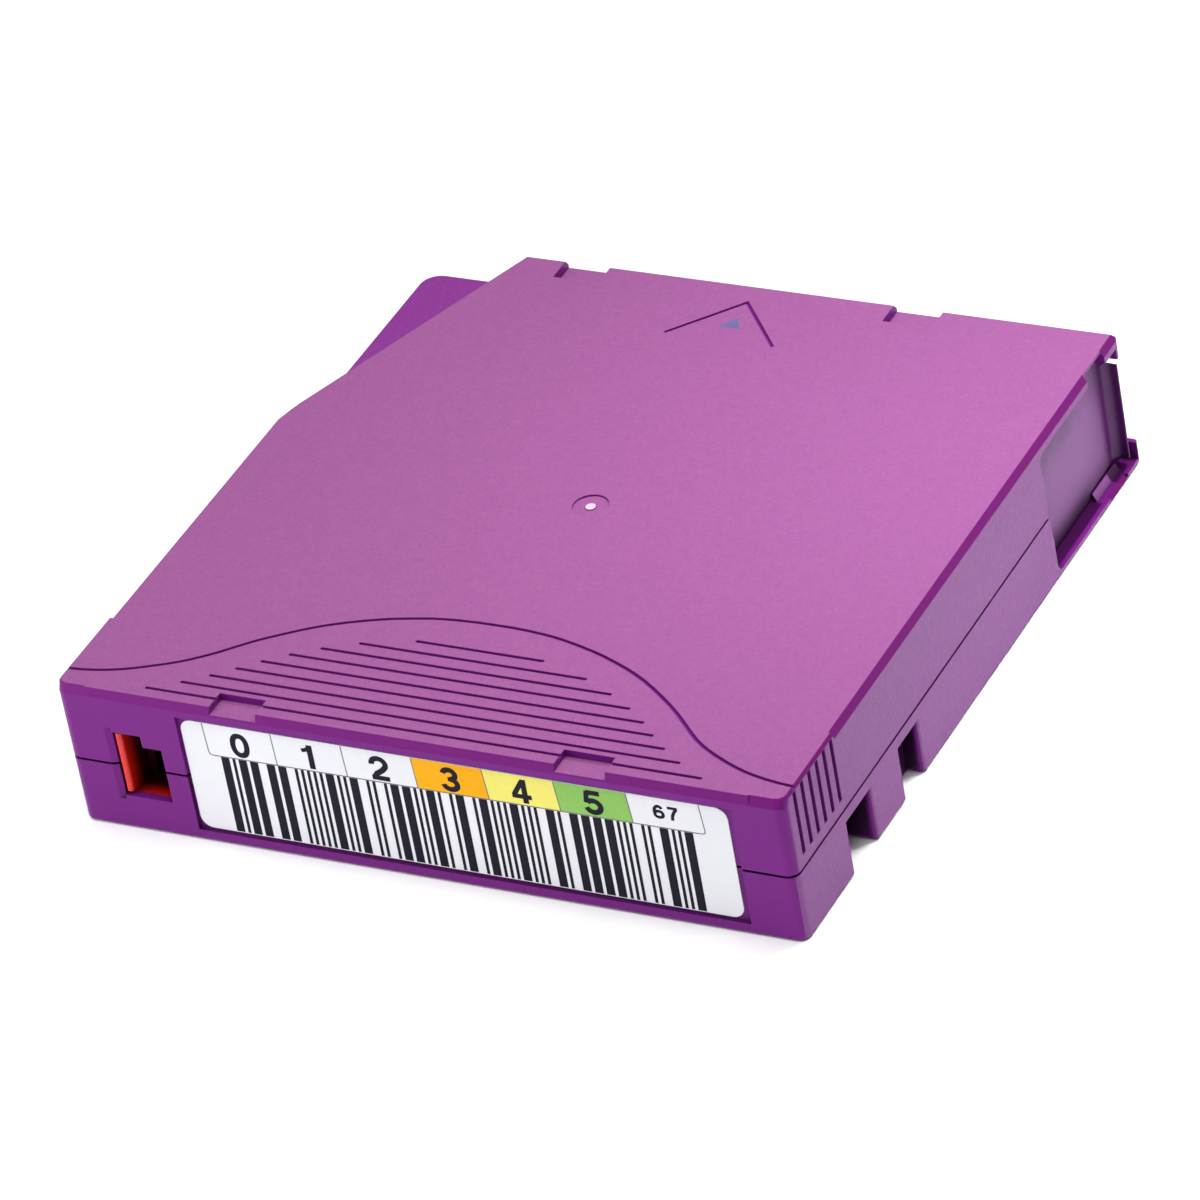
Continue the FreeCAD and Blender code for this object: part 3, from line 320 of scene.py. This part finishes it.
def slider_look(base):
    """Write-protect slider: glossy red, darkened to nearly black inside its pocket by painted shade; painted highlights
    along its edges.
    """
    m = Mat("tab_plastic")
    soft = m.soft_normal(0.00018)
    fine = m.noise(2400.0, 2.0, 0.6)
    broad = m.noise(260.0, 3.0, 0.5)
    col = m.mix(m.ramp(broad, 0.3, 0.7), times(base, 0.92), times(base, 1.08))
    col = m.mix(m.math("MULTIPLY", m.ramp(fine, 0.4, 0.62), 0.12), col, times(base, 0.8))
    # painted highlight along the edges
    col = m.mix(m.math("MULTIPLY", m.edge(soft, 3.0), 0.3), col, times(base, 1.5))
    # painted shade deep in the pocket
    inner = m.ramp(m.where(1), -0.0519, -0.0493, 1.0, 0.0)
    col = m.mix(m.math("MULTIPLY", inner, m.hollow(0.006, 0.15, 0.60)), times(base, 0.045), col)
    m.link(col, m.b.inputs["Base Color"])
    m.link(m.ramp(fine, 0.3, 0.7, 0.26, 0.36), m.b.inputs["Roughness"])
    m.link(m.bump(fine, 0.000008, 0.7, soft), m.b.inputs["Normal"])
    m.set(IOR=1.49)
    return m.m


def plastic(name, base, rough=0.42, grain=2600.0, depth=0.00001, spread=0.06, radius=0.00018, ior=1.49, edge=0.15, **extra):
    m = Mat(name)
    soft = m.soft_normal(radius)
    broad = m.noise(70.0, 3.0, 0.55)
    fine = m.noise(grain, 2.0, 0.6)
    col = m.mix(m.ramp(broad, 0.3, 0.7), times(base, 1.0 - spread), times(base, 1.0 + spread))
    col = m.mix(m.math("MULTIPLY", m.ramp(fine, 0.4, 0.62), 0.12), col, times(base, 0.82))
    # painted highlight along the edges, its strength set by edge
    col = m.mix(m.math("MULTIPLY", m.edge(soft, 3.0), edge), col, times(base, 1.6))
    m.link(col, m.b.inputs["Base Color"])
    m.link(m.ramp(fine, 0.3, 0.7, rough - 0.05, rough + 0.06), m.b.inputs["Roughness"])
    m.link(m.bump(fine, depth, 0.7, soft), m.b.inputs["Normal"])
    m.set(IOR=ior)
    m.set(**extra)
    return m.m


def steel(name, base, rough, direction=(1.0, 1.0, 40.0), scale=900.0, radius=0.00008):
    m = Mat(name)
    soft = m.soft_normal(radius)
    lines = m.noise(scale, 3.0, 0.6, m.stretch(*direction))
    patch = m.noise(160.0, 3.0, 0.5)
    col = m.mix(m.ramp(lines, 0.3, 0.7), times(base, 0.84), times(base, 1.1))
    col = m.mix(m.math("MULTIPLY", m.ramp(patch, 0.45, 0.7), 0.25), col, times(base, 0.72))
    m.link(col, m.b.inputs["Base Color"])
    m.link(m.ramp(lines, 0.3, 0.7, rough - 0.06, rough + 0.10), m.b.inputs["Roughness"])
    m.link(m.bump(lines, 0.000006, 0.6, soft), m.b.inputs["Normal"])
    m.set(Metallic=1.0)
    return m.m


def tape_material(name, along_z):
    """Wound or flat tape: dark brown film; the pack's faces show fine rings."""
    m = Mat(name)
    if along_z:
        s = m.node("ShaderNodeSeparateXYZ")
        m.link(m.coord.outputs["Object"], s.inputs[0])
        y = m.math("ADD", s.outputs[1], 0.001)
        r = m.math("SQRT", m.math("ADD", m.math("MULTIPLY", s.outputs[0], s.outputs[0]), m.math("MULTIPLY", y, y)))
        c = m.node("ShaderNodeCombineXYZ")
        m.link(r, c.inputs[0])
        rings = m.noise(3200.0, 4.0, 0.7, c.outputs[0])
    else:
        rings = m.noise(1400.0, 3.0, 0.6, m.stretch(1.0, 0.05, 1.0))
    haze = m.noise(60.0, 3.0, 0.5)
    base = lin(44, 34, 32)
    col = m.mix(m.ramp(rings, 0.3, 0.7), times(base, 0.75), times(base, 1.5))
    col = m.mix(m.math("MULTIPLY", m.ramp(haze, 0.4, 0.7), 0.3), col, times(base, 0.7))
    m.link(col, m.b.inputs["Base Color"])
    m.link(m.ramp(rings, 0.3, 0.7, 0.22, 0.38), m.b.inputs["Roughness"])
    m.link(m.bump(rings, 0.000012, 0.6), m.b.inputs["Normal"])
    m.set(IOR=1.55)
    return m.m


def paper(name, base, gloss=0.42):
    m = Mat(name)
    fibre = m.noise(2200.0, 4.0, 0.6)
    cloud = m.noise(90.0, 3.0, 0.5)
    col = m.mix(m.ramp(cloud, 0.35, 0.65), times(base, 0.975), times(base, 1.01))
    col = m.mix(m.math("MULTIPLY", m.ramp(fibre, 0.35, 0.65), 0.16), col, times(base, 0.90))
    m.link(col, m.b.inputs["Base Color"])
    m.link(m.ramp(fibre, 0.3, 0.7, gloss - 0.06, gloss + 0.08), m.b.inputs["Roughness"])
    m.link(m.bump(fibre, 0.000006, 0.5), m.b.inputs["Normal"])
    m.set(IOR=1.48)
    return m.m


def ink(name, base, spread=0.08, rough=0.5):
    m = Mat(name)
    fibre = m.noise(2600.0, 3.0, 0.6)
    cloud = m.noise(240.0, 3.0, 0.55)
    col = m.mix(m.ramp(cloud, 0.35, 0.65), times(base, 1.0 - spread), times(base, 1.0 + spread))
    col = m.mix(m.math("MULTIPLY", m.ramp(fibre, 0.45, 0.7), 0.18), col, times(base, 1.35))
    m.link(col, m.b.inputs["Base Color"])
    m.link(m.ramp(fibre, 0.3, 0.7, rough - 0.05, rough + 0.08), m.b.inputs["Roughness"])
    m.link(m.bump(fibre, 0.000004, 0.4), m.b.inputs["Normal"])
    m.set(IOR=1.46, Specular_IOR_Level=0.12)
    return m.m


# PURPLE is the plastic; TOP and SIDE are lighter copies for the grained faces, partly grain haze and partly painted
# sheen and light
PURPLE = (0.154, 0.0095, 0.190, 1.0)
TOP = (0.213, 0.0655, 0.189, 1.0)
SIDE = (0.194, 0.0620, 0.216, 1.0)
looks = {
    "upper_shell": shell("upper_plastic", PURPLE, TOP, SIDE),
    "lower_shell": shell("lower_plastic", times(PURPLE, 0.98), TOP, times(SIDE, 1.02), True),
    # door base darkened below the shell purple for painted shade on the tab; the lilac face colour is partly painted
    # sheen and light
    "door": door_look(times(PURPLE, 0.75), (0.178, 0.0570, 0.210, 1.0)),
    "door_spring": steel("door_spring_wire", (0.60, 0.60, 0.61, 1.0), 0.26, (1.0, 30.0, 1.0)),
    "reel_hub": plastic("reel_plastic", (0.56, 0.57, 0.60, 1.0), 0.40, 2400.0, 0.000012, 0.05, 0.0002),
    "reel_upper_flange": plastic("flange_plastic", (0.62, 0.63, 0.66, 1.0), 0.28, 1800.0, 0.000006, 0.04, 0.0002),
    "reel_plate": steel("plate_steel", (0.56, 0.56, 0.57, 1.0), 0.30, (1.0, 24.0, 1.0)),
    "tape_pack": tape_material("tape_rings", True),
    "tape_lead": tape_material("tape_film", False),
    "leader_pin": steel("pin_steel", (0.62, 0.62, 0.63, 1.0), 0.22, (30.0, 30.0, 1.0)),
    "leader_pin_clamp": plastic("clamp_plastic", (0.74, 0.73, 0.69, 1.0), 0.40, 2200.0, 0.00001, 0.04, 0.00015),
    "pin_spring_lower": steel("pin_spring_steel", (0.58, 0.58, 0.59, 1.0), 0.28, (1.0, 26.0, 1.0)),
    "pin_spring_upper": steel("pin_spring_steel_upper", (0.58, 0.58, 0.59, 1.0), 0.28, (1.0, 26.0, 1.0)),
    "brake_plate": plastic("brake_plastic", (0.045, 0.045, 0.05, 1.0), 0.44, 2600.0, 0.00001, 0.08, 0.0002, edge=0.1),
    "brake_spring": steel("brake_spring_wire", (0.55, 0.55, 0.56, 1.0), 0.26, (1.0, 1.0, 30.0)),
    "release_pad": plastic("pad_plastic", (0.70, 0.69, 0.64, 1.0), 0.42, 2000.0, 0.00001, 0.05, 0.00015),
    "write_protect_tab": slider_look(times(lin(232, 28, 10), 0.85)),
    "memory_chip": plastic("chip_board", (0.03, 0.14, 0.06, 1.0), 0.36, 3200.0, 0.000005, 0.08, 0.0001),
    "memory_chip_cover": plastic("chip_cover", (0.02, 0.02, 0.022, 1.0), 0.25, 2200.0, 0.000004, 0.1, 0.00015, edge=0.05),
    "barcode_label": paper("label_paper", times(lin(238, 238, 245), 0.865)),
    "case_screws": steel("screw_steel", (0.42, 0.42, 0.43, 1.0), 0.32, (1.0, 20.0, 1.0)),
}
for name, material in looks.items():
    data = nodes[name].data
    data.materials.clear()
    data.materials.append(material)


# ------------------------------------------------------------------ springs copied into meshes of their own on the case
def shortening(name, node):
    ob = nodes[node].copy()
    ob.data = nodes[node].data.copy()
    ob.name = name
    ob.data.name = name
    del ob["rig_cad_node"]
    scene.collection.objects.link(ob)
    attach(ob, "case")
    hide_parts(node)
    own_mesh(ob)
    return ob


shortening("door_return_spring", "door_spring")
shortening("brake_coil_spring", "brake_spring")


# ------------------------------------------------------------------ print
def new_piece(name, bm, material, body="case"):
    bmesh.ops.recalc_face_normals(bm, faces=bm.faces)
    me = bpy.data.meshes.new(name)
    bm.to_mesh(me)
    bm.free()
    me.materials.append(material)
    ob = bpy.data.objects.new(name, me)
    scene.collection.objects.link(ob)
    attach(ob, body)
    return ob


def front(y):
    """Label-side plane: (u, v) in mm to a point at depth y."""
    return lambda u, v: (u * MM, y * MM, v * MM)


def flat(z):
    return lambda u, v: (u * MM, v * MM, z * MM)


def slab(bm, ring, near, far):
    """Closed thin plate of one outline between two planes."""
    a = [bm.verts.new(near(u, v)) for u, v in ring]
    b = [bm.verts.new(far(u, v)) for u, v in ring]
    bm.faces.new(a)
    bm.faces.new(list(reversed(b)))
    n = len(ring)
    for i in range(n):
        bm.faces.new((a[i], b[i], b[(i + 1) % n], a[(i + 1) % n]))


def stroke(bm, pts, width, near, far, closed=False):
    """Closed thin ribbon of even width along a line."""
    n = len(pts)
    left, right = [], []
    for i, (x, y) in enumerate(pts):
        if closed:
            p, q = pts[i - 1], pts[(i + 1) % n]
            before, after = (x - p[0], y - p[1]), (q[0] - x, q[1] - y)
        else:
            p, q = pts[max(i - 1, 0)], pts[min(i + 1, n - 1)]
            before = (x - p[0], y - p[1]) if i else (q[0] - x, q[1] - y)
            after = (q[0] - x, q[1] - y) if i < n - 1 else before
        lb, la = math.hypot(*before), math.hypot(*after)
        nb, na = (-before[1] / lb, before[0] / lb), (-after[1] / la, after[0] / la)
        mx, my = nb[0] + na[0], nb[1] + na[1]
        k = width / max(0.7, mx * mx + my * my) * 1.0
        left.append((x + mx * k, y + my * k))
        right.append((x - mx * k, y - my * k))
    rings = []
    for a, b in zip(left, right):
        rings.append([bm.verts.new(near(*a)), bm.verts.new(near(*b)), bm.verts.new(far(*b)), bm.verts.new(far(*a))])
    for i in range(n if closed else n - 1):
        r, s = rings[i], rings[(i + 1) % n]
        for k in range(4):
            bm.faces.new((r[k], r[(k + 1) % 4], s[(k + 1) % 4], s[k]))
    if not closed:
        bm.faces.new(rings[0])
        bm.faces.new(list(reversed(rings[-1])))


def arc(cx, cy, rx, ry, a0, a1, n=22):
    out = []
    for i in range(n + 1):
        a = math.radians(a0 + (a1 - a0) * i / n)
        out.append((cx + rx * math.cos(a), cy + ry * math.sin(a)))
    return out


def ring_of(cx, cy, rx, ry, n=40, power=0.88):
    out = []
    for i in range(n):
        a = 2 * math.pi * i / n
        c, s = math.cos(a), math.sin(a)
        out.append((cx + rx * math.copysign(abs(c) ** power, c), cy + ry * math.copysign(abs(s) ** power, s)))
    return out


T = 0.212
DIGITS = {
    "0": [(ring_of(0, 0.5, 0.245, 0.408), T, True)],
    "1": [([(0.07, 0.0), (0.07, 1.0)], T * 1.05, False), ([(-0.23, 0.74), (-0.06, 0.79), (0.04, 0.90)], T * 0.72, False)],
    "2": [(arc(0, 0.672, 0.245, 0.235, 188, -30) + [(0.10, 0.42), (-0.10, 0.27), (-0.20, 0.12)], T, False), ([(-0.305, 0.085), (0.325, 0.085)], T * 0.92, False)],
    "3": [(arc(0.0, 0.712, 0.215, 0.198, 172, -88), T, False), (arc(0.0, 0.302, 0.245, 0.212, 88, -172), T, False), ([(-0.07, 0.513), (0.04, 0.513)], T * 0.8, False)],
    "4": [([(0.12, 0.0), (0.12, 1.0)], T, False), ([(-0.34, 0.275), (0.345, 0.275)], T * 0.88, False), ([(0.08, 0.92), (-0.275, 0.30)], T * 0.86, False)],
    "5": [([(-0.19, 0.905), (0.275, 0.905)], T * 0.95, False), ([(-0.175, 0.955), (-0.235, 0.46)], T * 0.88, False), (arc(0.0, 0.335, 0.25, 0.243, 142, -165), T, False)],
    "6": [(ring_of(0.005, 0.318, 0.245, 0.225), T, True), (arc(0.0, 0.5, 0.25, 0.41, 36, 196), T, False)],
    "7": [([(-0.30, 0.905), (0.30, 0.905)], T * 0.95, False), ([(0.235, 0.86), (0.06, 0.60), (-0.04, 0.34), (-0.085, 0.0)], T, False)],
}


def digit(bm, ch, cx, base, height, y_front, y_back, widen=1.0):
    for k, (pts, w, closed) in enumerate(DIGITS[ch]):
        place = [(cx + x * height * widen, base + y * height) for x, y in pts]
        lift = 0.0012 * k
        stroke(bm, place, w * height, front(y_front - lift), front(y_back), closed)


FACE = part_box("barcode_label")[0].y / MM          # outer face of the label
BACK = FACE + 0.03
HIGH = 18.68                                      # upper edge of the printed fields
LINE0, LINE1 = 13.82, 14.28                       # their lower edge, left and right


def line_z(x):
    return LINE0 + (LINE1 - LINE0) * (x + 30.1) / 69.4


TOPS = [-30.3, -20.5, -10.55, -0.65, 9.2, 19.1, 29.05, 38.98]
FEET = [-30.1, -20.35, -10.35, -0.4, 9.6, 19.5, 29.45, 39.35]
colours = {3: ("orange", times(lin(250, 176, 6), 0.87)), 4: ("yellow", times(lin(244, 234, 117), 0.87)), 5: ("green", times(lin(142, 195, 97), 0.87))}
for i, (word, colour) in colours.items():
    bm = bmesh.new()
    slab(bm, [(FEET[i], line_z(FEET[i])), (FEET[i + 1], line_z(FEET[i + 1])), (TOPS[i + 1], HIGH), (TOPS[i], HIGH)], front(FACE - 0.006), front(BACK))
    new_piece("label_field_" + word, bm, ink("field_" + word, colour, 0.03, 0.42))

bm = bmesh.new()
for i in range(8):
    z0 = line_z(FEET[i]) + (0.45 if i in (0, 7) else 0.0)
    shift = (0.45 / (HIGH - line_z(FEET[i]))) * (TOPS[i] - FEET[i]) if i in (0, 7) else 0.0
    stroke(bm, [(FEET[i] + shift, z0), (TOPS[i], HIGH)], 0.15, front(FACE - 0.012), front(BACK))
bow = [(FEET[0] + 0.02, line_z(FEET[0]) + 0.45), (FEET[0] + 0.12, line_z(FEET[0]) + 0.14), (FEET[0] + 0.45, line_z(FEET[0]))]
tail = [(FEET[7] - 0.45, line_z(FEET[7])), (FEET[7] - 0.12, line_z(FEET[7]) + 0.14), (FEET[7] - 0.03, line_z(FEET[7]) + 0.45)]
stroke(bm, bow + tail, 0.15, front(FACE - 0.0135), front(BACK))
new_piece("label_outlines", bm, ink("outline_ink", lin(104, 104, 110), 0.06, 0.5))

INK = ink("bar_ink", lin(20, 17, 33), 0.08, 0.5)
bm = bmesh.new()
for i, ch in enumerate("012345"):
    cx = (FEET[i] + FEET[i + 1] + TOPS[i] + TOPS[i + 1]) / 4.0
    digit(bm, ch, cx, line_z(cx) + 0.34, 3.66, FACE - 0.016, BACK, 1.08)
for k, ch in enumerate("67"):
    cx = 33.3 + 1.95 * k
    digit(bm, ch, cx, 15.62, 2.05, FACE - 0.016, BACK, 1.12)
new_piece("label_digits", bm, INK)

# plain bars: fifty, wide and narrow in a made-up order
NARROW, WIDE = 0.43, 1.17
wide_bar = [(i * i + 3 * i + i // 7) % 5 in (0, 3) for i in range(50)]
wide_gap = [(2 * i + i // 4) % 5 == 1 for i in range(49)]
bars = [WIDE if w else NARROW for w in wide_bar]
gaps = [WIDE if w else NARROW for w in wide_gap]
LEFT, RIGHT = -28.5, 37.55
unit = (RIGHT - LEFT) / (sum(bars) + sum(gaps))
bm = bmesh.new()
x = LEFT
for i in range(50):
    w = bars[i] * unit
    foot = 2.12
    a, b = x, x + w
    slab(bm, [(a, foot), (b, foot), (b, line_z(b) - 0.10), (a, line_z(a) - 0.10)], front(FACE - 0.010), front(BACK))
    x = b + (gaps[i] * unit if i < 49 else 0.0)
new_piece("label_bars", bm, INK)

# printed arrow in the chevron on the top
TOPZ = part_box("upper_shell")[1].z / MM
bm = bmesh.new()
slab(bm, [(-1.5, 40.5), (1.6, 40.5), (0.02, 42.85)], flat(TOPZ + 0.012), flat(TOPZ - 0.02))
new_piece("top_arrow_print", bm, ink("arrow_ink", lin(88, 84, 128), 0.10, 0.5))


# moulding gate mark, a low glossy dome in the dish; its pale colour is a painted highlight
DOME = (-0.2, -1.0, 0.74, TOPZ - 0.22)
bm = bmesh.new()
rings = []
for k in range(6):
    a = math.radians(90.0 * k / 6)
    r, h = DOME[2] * math.cos(a), 0.16 * math.sin(a)
    rings.append([bm.verts.new(((DOME[0] + r * math.cos(2 * math.pi * i / 28)) * MM, (DOME[1] + r * math.sin(2 * math.pi * i / 28)) * MM, (DOME[3] + h) * MM)) for i in range(28)])
foot = [bm.verts.new((v.co.x, v.co.y, (DOME[3] - 0.04) * MM)) for v in rings[0]]
tip = bm.verts.new((DOME[0] * MM, DOME[1] * MM, (DOME[3] + 0.16) * MM))
for a, b in zip([foot] + rings[:-1], rings):
    for i in range(28):
        bm.faces.new((a[i], a[(i + 1) % 28], b[(i + 1) % 28], b[i]))
for i in range(28):
    bm.faces.new((rings[-1][i], rings[-1][(i + 1) % 28], tip))
bm.faces.new(list(reversed(foot)))
dome = new_piece("gate_mark", bm, plastic("gate_plastic", (0.62, 0.42, 0.60, 1.0), 0.16, 900.0, 0.000004, 0.05, 0.0001))
for face in dome.data.polygons:
    face.use_smooth = len(face.vertices) < 5

# ------------------------------------------------------------------ camera
rows = ((0.88852382, 0.43232447, -0.15369113), (0.13690451, -0.56950439, -0.81050719), (-0.43792987, 0.69911394, -0.56520538))
place = Vector((0.450376, -0.722272, 0.589534))
camera = bpy.data.objects.new("camera", bpy.data.cameras.new("camera"))
scene.collection.objects.link(camera)
right, down, ahead = (Vector(r) for r in rows)
camera.matrix_world = Matrix((
    (right.x, -down.x, -ahead.x, place.x),
    (right.y, -down.y, -ahead.y, place.y),
    (right.z, -down.z, -ahead.z, place.z),
    (0.0, 0.0, 0.0, 1.0),
))
camera.data.sensor_width = 36.0
camera.data.lens = 8034.42 / 1200.0 * 36.0
camera.data.clip_start = 0.01
camera.data.clip_end = 20.0
scene.camera = camera

# ------------------------------------------------------------------ floor
m = Mat("floor_paint")
n = m.noise(9.0, 3.0, 0.5)
fine = m.noise(900.0, 2.0, 0.5)
col = m.mix(m.ramp(n, 0.3, 0.7), (0.86, 0.86, 0.865, 1.0), (0.90, 0.90, 0.90, 1.0))
m.link(col, m.b.inputs["Base Color"])
m.link(m.ramp(fine, 0.3, 0.7, 0.75, 0.9), m.b.inputs["Roughness"])
m.set(IOR=1.3)
bm = bmesh.new()
R, N = 6.0, 64
centre = bm.verts.new((0.0, 0.0, 0.0))
rim = [bm.verts.new((R * math.cos(2 * math.pi * i / N), R * math.sin(2 * math.pi * i / N), 0.0)) for i in range(N)]
for i in range(N):
    bm.faces.new((centre, rim[i], rim[(i + 1) % N]))
me = bpy.data.meshes.new("floor")
bm.to_mesh(me)
bm.free()
me.materials.append(m.m)
floor = bpy.data.objects.new("floor", me)
scene.collection.objects.link(floor)
floor.location.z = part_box("lower_shell")[0].z - 0.00002


# ------------------------------------------------------------------ light
def area(name, place, target, size, power, tint=(1.0, 1.0, 1.0)):
    light = bpy.data.lights.new(name, "AREA")
    light.shape = "RECTANGLE"
    light.size, light.size_y = size
    light.energy = power
    light.color = tint
    ob = bpy.data.objects.new(name, light)
    scene.collection.objects.link(ob)
    ob.location = place
    ob.rotation_euler = (Vector(target) - Vector(place)).to_track_quat("-Z", "Y").to_euler()
    ob.visible_camera = False
    return ob


world = bpy.data.worlds.new("studio")
scene.world = world
world.use_nodes = True
world.node_tree.nodes["Background"].inputs["Color"].default_value = (1.0, 1.0, 1.0, 1.0)
world.node_tree.nodes["Background"].inputs["Strength"].default_value = 0.25
area("overhead", (0.0, -0.1, 1.2), (0.0, 0.0, 0.0), (1.2, 1.2), 18.0)
area("front_left", (-0.22, -0.26, 0.12), (-0.04, -0.05, 0.01), (0.14, 0.14), 0.33)
area("front_high", (0.05, -0.35, 0.45), (0.0, -0.04, 0.01), (0.3, 0.3), 0.16)
key = area("key_back_right", (0.13, 0.10, 0.25), (0.05, 0.02, 0.0215), (0.08, 0.08), 0.088)
key.data.spread = math.radians(55.0)
spot = area("left_spot", (-0.2, -0.16, 0.18), (-0.05, -0.04, 0.02), (0.1, 0.1), 0.008)
spot.data.spread = math.radians(50.0)
